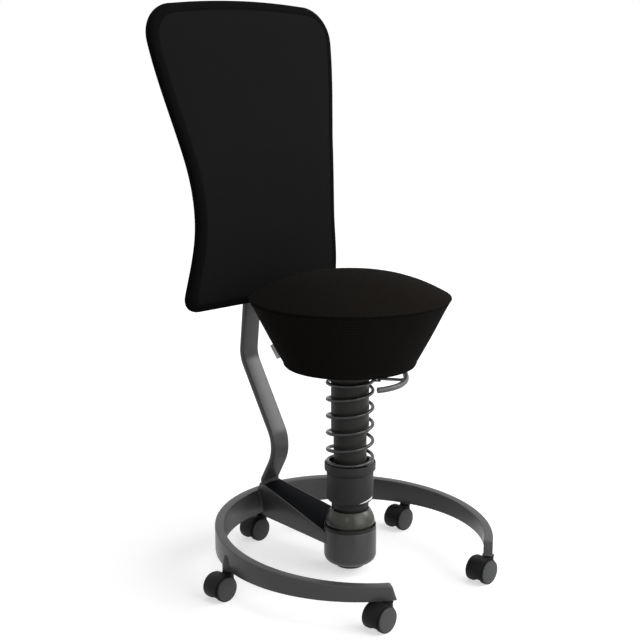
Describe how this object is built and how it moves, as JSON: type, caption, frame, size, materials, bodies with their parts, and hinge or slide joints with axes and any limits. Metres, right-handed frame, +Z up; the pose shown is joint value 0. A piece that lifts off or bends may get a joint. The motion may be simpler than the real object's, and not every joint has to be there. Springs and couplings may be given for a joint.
{
  "type": "spring balance stool",
  "caption": "Active sitting stool: domed seat on a coil-spring column with a tilt bearing, C-shaped castor base and tall waisted backrest on a bent bar.",
  "frame": {"origin": "on the floor, on the column's axis", "axes": "+Z up along the column, -Y the way the sitter faces, +Y towards the backrest, +X the sitter's left"},
  "size_m": [0.5936, 0.5977, 1.144],
  "materials": {
    "powder_coat": "satin dark grey powder coat",
    "black_plastic": "fine-grained black plastic",
    "black_rubber": "matt black rubber",
    "castor_plastic": "grey-black castor wheel",
    "dark_steel": "dark coated steel",
    "seat_board": "black stained plywood",
    "black_fabric": "black woven upholstery"
  },
  "bodies": {
    "base": {"base_ring": "powder_coat", "base_arm": "powder_coat", "arm_cover": "black_plastic", "joint_cup": "powder_coat", "cup_foot_cap": "black_plastic", "retaining_ring": "powder_coat", "castor_front_right_stem": "dark_steel", "castor_front_left_stem": "dark_steel", "castor_side_right_stem": "dark_steel", "castor_side_left_stem": "dark_steel", "castor_back_stem": "dark_steel", "back_upright": "powder_coat", "back_shell": "black_plastic", "back_pad": "black_fabric", "back_bolt_1": "dark_steel", "back_bolt_2": "dark_steel", "back_bolt_3": "dark_steel"},
    "liner": {"bearing_liner": "black_rubber"},
    "strut": {"bearing_ball": "dark_steel", "strut_tube": "powder_coat", "strut_neck": "black_plastic"},
    "collar": {"spring_collar": "black_plastic", "coil_spring": "dark_steel"},
    "knob": {"preload_knob": "black_plastic"},
    "sleeve": {"dust_sleeve": "powder_coat", "spring_perch": "powder_coat", "guide_tube": "dark_steel", "guide_bush": "black_plastic", "piston_rod": "dark_steel"},
    "lift": {"lift_cylinder": "dark_steel", "valve_pin": "dark_steel"},
    "seat": {"seat_cushion": "black_fabric", "seat_board": "seat_board", "seat_plate": "powder_coat", "lever_pin": "dark_steel"},
    "lever": {"height_lever": "dark_steel"},
    "castor_front_right": {"castor_front_right_hood": "black_plastic", "castor_front_right_axle": "dark_steel"},
    "castor_front_right_wheel_a": {"castor_front_right_wheel_a": "castor_plastic"},
    "castor_front_right_wheel_b": {"castor_front_right_wheel_b": "castor_plastic"},
    "castor_front_left": {"castor_front_left_hood": "black_plastic", "castor_front_left_axle": "dark_steel"},
    "castor_front_left_wheel_a": {"castor_front_left_wheel_a": "castor_plastic"},
    "castor_front_left_wheel_b": {"castor_front_left_wheel_b": "castor_plastic"},
    "castor_side_right": {"castor_side_right_hood": "black_plastic", "castor_side_right_axle": "dark_steel"},
    "castor_side_right_wheel_a": {"castor_side_right_wheel_a": "castor_plastic"},
    "castor_side_right_wheel_b": {"castor_side_right_wheel_b": "castor_plastic"},
    "castor_side_left": {"castor_side_left_hood": "black_plastic", "castor_side_left_axle": "dark_steel"},
    "castor_side_left_wheel_a": {"castor_side_left_wheel_a": "castor_plastic"},
    "castor_side_left_wheel_b": {"castor_side_left_wheel_b": "castor_plastic"},
    "castor_back": {"castor_back_hood": "black_plastic", "castor_back_axle": "dark_steel"},
    "castor_back_wheel_a": {"castor_back_wheel_a": "castor_plastic"},
    "castor_back_wheel_b": {"castor_back_wheel_b": "castor_plastic"}
  },
  "joints": [
    {"name": "tilt_fore_aft", "type": "hinge", "parent": "base", "child": "liner", "pos_m": [0, 0, 0.0995], "axis": [1, 0, 0], "range_deg": [-2, 10], "stiffness_Nm_per_rad": 500},
    {"name": "tilt_side", "type": "hinge", "parent": "liner", "child": "strut", "pos_m": [0, 0, 0.0995], "axis": [0, 1, 0], "range_deg": [-6, 6], "stiffness_Nm_per_rad": 500},
    {"name": "preload", "type": "slide", "parent": "strut", "child": "collar", "axis": [0, 0, 1], "range_m": [-0.005, 0]},
    {"name": "knob_turn", "type": "hinge", "parent": "collar", "child": "knob", "pos_m": [0, 0, 0.15], "axis": [0, 0, 1], "range_deg": [-450, 0]},
    {"name": "bounce", "type": "slide", "parent": "strut", "child": "sleeve", "axis": [0, 0, 1], "range_m": [-0.05, 0], "stiffness_N_per_m": 12000, "springref_m": 0.02, "deforming": ["coil_spring"]},
    {"name": "height", "type": "slide", "parent": "sleeve", "child": "lift", "axis": [0, 0, 1], "range_m": [0, 0.1]},
    {"name": "seat_swivel", "type": "hinge", "parent": "lift", "child": "seat", "pos_m": [0, 0, 0.4253], "axis": [0, 0, 1], "continuous": true},
    {"name": "lever_lift", "type": "hinge", "parent": "seat", "child": "lever", "pos_m": [0.008, -0.067, 0.413], "axis": [-0.852, -0.5235, 0], "range_deg": [0, 4], "stiffness_Nm_per_rad": 2, "springref_deg": -5.73},
    {"name": "castor_front_right_swivel", "type": "hinge", "parent": "base", "child": "castor_front_right", "pos_m": [-0.15294, -0.23824, 0.045], "axis": [0, 0, 1], "continuous": true},
    {"name": "castor_front_right_wheel_a_roll", "type": "hinge", "parent": "castor_front_right", "child": "castor_front_right_wheel_a", "pos_m": [-0.17444, -0.23824, 0.025], "axis": [0, 1, 0], "continuous": true},
    {"name": "castor_front_right_wheel_b_roll", "type": "hinge", "parent": "castor_front_right", "child": "castor_front_right_wheel_b", "pos_m": [-0.17444, -0.23824, 0.025], "axis": [0, 1, 0], "continuous": true},
    {"name": "castor_front_left_swivel", "type": "hinge", "parent": "base", "child": "castor_front_left", "pos_m": [0.15294, -0.23824, 0.045], "axis": [0, 0, 1], "continuous": true},
    {"name": "castor_front_left_wheel_a_roll", "type": "hinge", "parent": "castor_front_left", "child": "castor_front_left_wheel_a", "pos_m": [0.13144, -0.23824, 0.025], "axis": [0, 1, 0], "continuous": true},
    {"name": "castor_front_left_wheel_b_roll", "type": "hinge", "parent": "castor_front_left", "child": "castor_front_left_wheel_b", "pos_m": [0.13144, -0.23824, 0.025], "axis": [0, 1, 0], "continuous": true},
    {"name": "castor_side_right_swivel", "type": "hinge", "parent": "base", "child": "castor_side_right", "pos_m": [-0.26285, 0.07901, 0.045], "axis": [0, 0, 1], "continuous": true},
    {"name": "castor_side_right_wheel_a_roll", "type": "hinge", "parent": "castor_side_right", "child": "castor_side_right_wheel_a", "pos_m": [-0.28435, 0.07901, 0.025], "axis": [0, 1, 0], "continuous": true},
    {"name": "castor_side_right_wheel_b_roll", "type": "hinge", "parent": "castor_side_right", "child": "castor_side_right_wheel_b", "pos_m": [-0.28435, 0.07901, 0.025], "axis": [0, 1, 0], "continuous": true},
    {"name": "castor_side_left_swivel", "type": "hinge", "parent": "base", "child": "castor_side_left", "pos_m": [0.26285, 0.07901, 0.045], "axis": [0, 0, 1], "continuous": true},
    {"name": "castor_side_left_wheel_a_roll", "type": "hinge", "parent": "castor_side_left", "child": "castor_side_left_wheel_a", "pos_m": [0.24135, 0.07901, 0.025], "axis": [0, 1, 0], "continuous": true},
    {"name": "castor_side_left_wheel_b_roll", "type": "hinge", "parent": "castor_side_left", "child": "castor_side_left_wheel_b", "pos_m": [0.24135, 0.07901, 0.025], "axis": [0, 1, 0], "continuous": true},
    {"name": "castor_back_swivel", "type": "hinge", "parent": "base", "child": "castor_back", "pos_m": [0, 0.2665, 0.045], "axis": [0, 0, 1], "continuous": true},
    {"name": "castor_back_wheel_a_roll", "type": "hinge", "parent": "castor_back", "child": "castor_back_wheel_a", "pos_m": [-0.0215, 0.2665, 0.025], "axis": [0, 1, 0], "continuous": true},
    {"name": "castor_back_wheel_b_roll", "type": "hinge", "parent": "castor_back", "child": "castor_back_wheel_b", "pos_m": [-0.0215, 0.2665, 0.025], "axis": [0, 1, 0], "continuous": true}
  ],
  "couplings": [
    {"joint": "preload", "follows": "knob_turn", "m_per_rad": 0.0006366}
  ]
}
